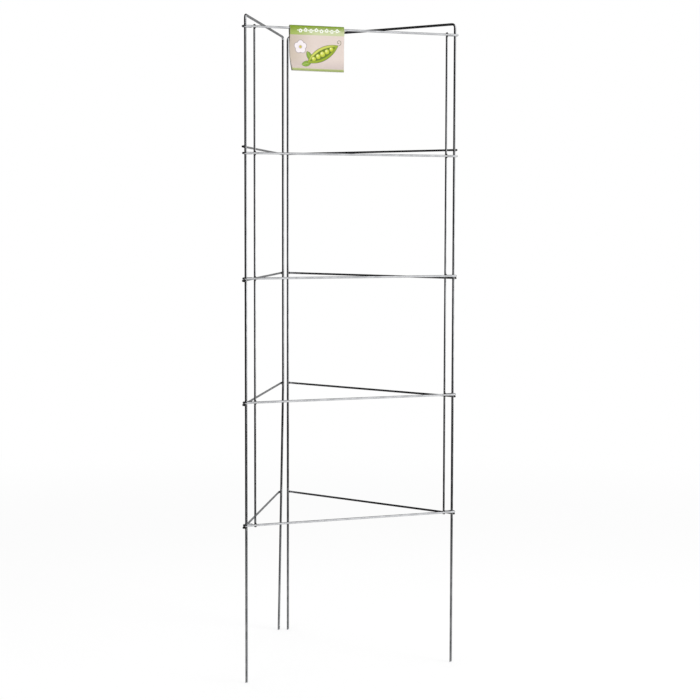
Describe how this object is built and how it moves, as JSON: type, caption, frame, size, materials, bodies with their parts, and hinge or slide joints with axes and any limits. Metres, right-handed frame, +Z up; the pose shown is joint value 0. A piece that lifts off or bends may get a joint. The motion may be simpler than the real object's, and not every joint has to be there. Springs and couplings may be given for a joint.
{
  "type": "pea trellis",
  "caption": "Tall folding garden trellis of zinc-coated wire panels hooked together into a triangular tower, with rungs for climbing peas and a folded card on its top rung.",
  "frame": {"origin": "on the ground in the middle of the footprint's box", "axes": "+Z up along the legs, -Y towards the front of the centre panel, +X towards the right wing's hinge"},
  "size_m": [0.376, 0.3418, 1.067],
  "materials": {
    "zinc_wire": "bright zinc coating on drawn steel wire, grey at the welds and the sheared ends",
    "printed_card": "satin printed card, green band over a pale kraft field"
  },
  "bodies": {
    "centre_panel": {"centre_stile_left": "zinc_wire", "centre_stile_right": "zinc_wire", "centre_rung_1": "zinc_wire", "centre_rung_2": "zinc_wire", "centre_rung_3": "zinc_wire", "centre_rung_4": "zinc_wire", "centre_rung_5": "zinc_wire"},
    "left_wing": {"left_wing_hoop": "zinc_wire", "left_wing_rung_2": "zinc_wire", "left_wing_rung_3": "zinc_wire", "left_wing_rung_4": "zinc_wire", "left_wing_rung_5": "zinc_wire"},
    "right_wing": {"right_wing_hoop": "zinc_wire", "right_wing_rung_2": "zinc_wire", "right_wing_rung_3": "zinc_wire", "right_wing_rung_4": "zinc_wire", "right_wing_rung_5": "zinc_wire"},
    "tag": {"tag_card": "printed_card"}
  },
  "joints": [
    {"name": "left_wing_hinge", "type": "hinge", "parent": "centre_panel", "child": "left_wing", "pos_m": [-0.1815, -0.15322, 0.5], "axis": [0, 0, 1], "range_deg": [0, 230]},
    {"name": "right_wing_hinge", "type": "hinge", "parent": "centre_panel", "child": "right_wing", "pos_m": [0.1815, -0.15322, 0.5], "axis": [0, 0, -1], "range_deg": [0, 230]},
    {"name": "tag_swing", "type": "hinge", "parent": "centre_panel", "child": "tag", "pos_m": [-0.0635, -0.15727, 1.0469], "axis": [1, 0, 0], "range_deg": [-85, 85]}
  ]
}
